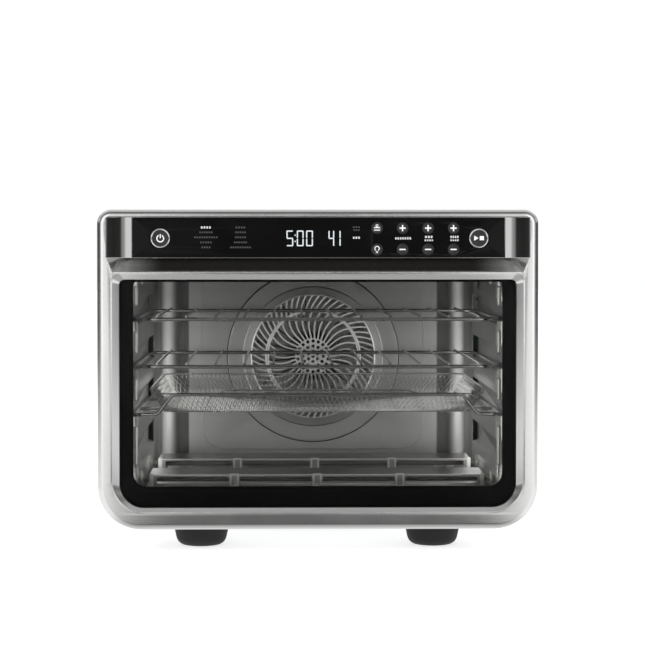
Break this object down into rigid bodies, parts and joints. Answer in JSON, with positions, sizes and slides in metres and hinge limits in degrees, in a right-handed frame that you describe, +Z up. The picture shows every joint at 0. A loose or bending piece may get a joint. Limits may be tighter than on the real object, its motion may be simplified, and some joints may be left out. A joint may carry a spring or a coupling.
{
  "type": "toaster oven",
  "caption": "Countertop convection oven: steel case, drop-down glass door with a display handle, wire racks, mesh basket, crumb tray and fan.",
  "frame": {"origin": "centre of the bounding box's underside, on the counter", "axes": "+X to the right seen from the front, +Y towards the back, +Z up"},
  "size_m": [0.434, 0.5, 0.339],
  "materials": {
    "case_steel": "brushed, satin",
    "galvanised": "plated sheet",
    "frame_steel": "satin pressed sheet",
    "foot_rubber": "matte moulded",
    "screw_steel": "plated",
    "inlet_plastic": "fine moulded texture",
    "cavity_enamel": "satin grey coating",
    "mineral_wool": "fibrous",
    "heater_rod": "heat-tinted",
    "ceramic": "glazed white ceramic",
    "guard_steel": "satin pressed sheet",
    "lamp_glass": "clear heat-proof glass",
    "lamp_metal": "spun cup",
    "fan_aluminium": "bare sheet",
    "motor_iron": "varnished laminations",
    "circuit_board": "solder mask",
    "component_black": "moulded",
    "rack_chrome": "plated wire",
    "basket_steel": "expanded sheet",
    "tray_steel": "satin pressed sheet",
    "door_steel": "horizontal brushing",
    "handle_steel": "horizontal brushing",
    "clear_glass": "clear tempered glass",
    "black_print": "gloss black print under glass",
    "control_black": "gloss black glass",
    "button_black": "gloss black"
  },
  "bodies": {
    "case": {"outer_wrap": "case_steel", "base_pan": "galvanised", "rear_cover": "galvanised", "front_frame": "frame_steel", "feet": "foot_rubber", "case_screws": "screw_steel", "wall_spacers": "foot_rubber", "cord_inlet": "inlet_plastic", "hinge_brackets": "galvanised", "left_liner": "cavity_enamel", "right_liner": "cavity_enamel", "rear_liner": "cavity_enamel", "cavity_ceiling": "cavity_enamel", "cavity_floor": "cavity_enamel", "insulation_blanket": "mineral_wool", "upper_heaters": "heater_rod", "lower_heaters": "heater_rod", "heater_insulators": "ceramic", "front_heater_guard": "guard_steel", "rear_heater_guard": "guard_steel", "fan_grille": "guard_steel", "grille_screws": "screw_steel", "temperature_probe": "screw_steel", "lamp_lens": "lamp_glass", "lamp_bulb": "lamp_glass", "lamp_housing": "lamp_metal", "fan_chamber": "galvanised", "fan_motor": "motor_iron", "motor_bracket": "galvanised", "power_board": "circuit_board", "power_components": "component_black"},
    "fan_rotor": {"convection_fan": "fan_aluminium", "fan_shaft": "screw_steel", "cooling_fan": "fan_aluminium"},
    "upper_rack": {"upper_rack": "rack_chrome"},
    "lower_rack": {"lower_rack": "rack_chrome"},
    "basket": {"basket_frame": "rack_chrome", "basket_mesh": "basket_steel"},
    "crumb_tray": {"crumb_tray": "tray_steel"},
    "door": {"door_frame": "door_steel", "door_glass": "clear_glass", "glass_border": "black_print", "inner_glass": "clear_glass", "door_inner_frame": "galvanised", "hinge_arms": "galvanised", "hinge_pins": "screw_steel", "handle_shell": "handle_steel", "control_glass": "control_black", "control_board": "circuit_board", "display_module": "component_black"},
    "button_power": {"button_power": "button_black"},
    "button_start_stop": {"button_start_stop": "button_black"},
    "button_rack_level": {"button_rack_level": "button_black"},
    "button_light": {"button_light": "button_black"},
    "button_function_up": {"button_function_up": "button_black"},
    "button_function_down": {"button_function_down": "button_black"},
    "button_time_up": {"button_time_up": "button_black"},
    "button_time_down": {"button_time_down": "button_black"},
    "button_heat_up": {"button_heat_up": "button_black"},
    "button_heat_down": {"button_heat_down": "button_black"}
  },
  "joints": [
    {"name": "door_hinge", "type": "hinge", "parent": "case", "child": "door", "pos_m": [0, -0.196, 0.04], "axis": [1, 0, 0], "range_deg": [0, 85], "stiffness_Nm_per_rad": 1.6, "springref_deg": -28.65},
    {"name": "fan_spin", "type": "hinge", "parent": "case", "child": "fan_rotor", "pos_m": [0, 0.18, 0.177], "axis": [0, 1, 0], "continuous": true},
    {"name": "upper_rack_slide", "type": "slide", "parent": "case", "child": "upper_rack", "axis": [0, -1, 0], "range_m": [0, 0.2]},
    {"name": "lower_rack_slide", "type": "slide", "parent": "case", "child": "lower_rack", "axis": [0, -1, 0], "range_m": [0, 0.2]},
    {"name": "basket_slide", "type": "slide", "parent": "case", "child": "basket", "axis": [0, -1, 0], "range_m": [0, 0.133]},
    {"name": "crumb_tray_slide", "type": "slide", "parent": "case", "child": "crumb_tray", "axis": [0, -1, 0], "range_m": [0, 0.013]},
    {"name": "power_press", "type": "slide", "parent": "door", "child": "button_power", "axis": [0, 1, 0], "range_m": [0, 0.0006], "stiffness_N_per_m": 1200, "springref_m": -0.0002},
    {"name": "start_stop_press", "type": "slide", "parent": "door", "child": "button_start_stop", "axis": [0, 1, 0], "range_m": [0, 0.0006], "stiffness_N_per_m": 1200, "springref_m": -0.0002},
    {"name": "rack_level_press", "type": "slide", "parent": "door", "child": "button_rack_level", "axis": [0, 1, 0], "range_m": [0, 0.0006], "stiffness_N_per_m": 1200, "springref_m": -0.0002},
    {"name": "light_press", "type": "slide", "parent": "door", "child": "button_light", "axis": [0, 1, 0], "range_m": [0, 0.0006], "stiffness_N_per_m": 1200, "springref_m": -0.0002},
    {"name": "function_up_press", "type": "slide", "parent": "door", "child": "button_function_up", "axis": [0, 1, 0], "range_m": [0, 0.0006], "stiffness_N_per_m": 1200, "springref_m": -0.0002},
    {"name": "function_down_press", "type": "slide", "parent": "door", "child": "button_function_down", "axis": [0, 1, 0], "range_m": [0, 0.0006], "stiffness_N_per_m": 1200, "springref_m": -0.0002},
    {"name": "time_up_press", "type": "slide", "parent": "door", "child": "button_time_up", "axis": [0, 1, 0], "range_m": [0, 0.0006], "stiffness_N_per_m": 1200, "springref_m": -0.0002},
    {"name": "time_down_press", "type": "slide", "parent": "door", "child": "button_time_down", "axis": [0, 1, 0], "range_m": [0, 0.0006], "stiffness_N_per_m": 1200, "springref_m": -0.0002},
    {"name": "heat_up_press", "type": "slide", "parent": "door", "child": "button_heat_up", "axis": [0, 1, 0], "range_m": [0, 0.0006], "stiffness_N_per_m": 1200, "springref_m": -0.0002},
    {"name": "heat_down_press", "type": "slide", "parent": "door", "child": "button_heat_down", "axis": [0, 1, 0], "range_m": [0, 0.0006], "stiffness_N_per_m": 1200, "springref_m": -0.0002}
  ],
  "couplings": [
    {"joint": "upper_rack_slide", "follows": "door_hinge", "m_per_rad": 0.134},
    {"joint": "lower_rack_slide", "follows": "door_hinge", "m_per_rad": 0.134},
    {"joint": "basket_slide", "follows": "door_hinge", "m_per_rad": 0.0894},
    {"joint": "crumb_tray_slide", "follows": "door_hinge", "m_per_rad": 0.0085}
  ]
}
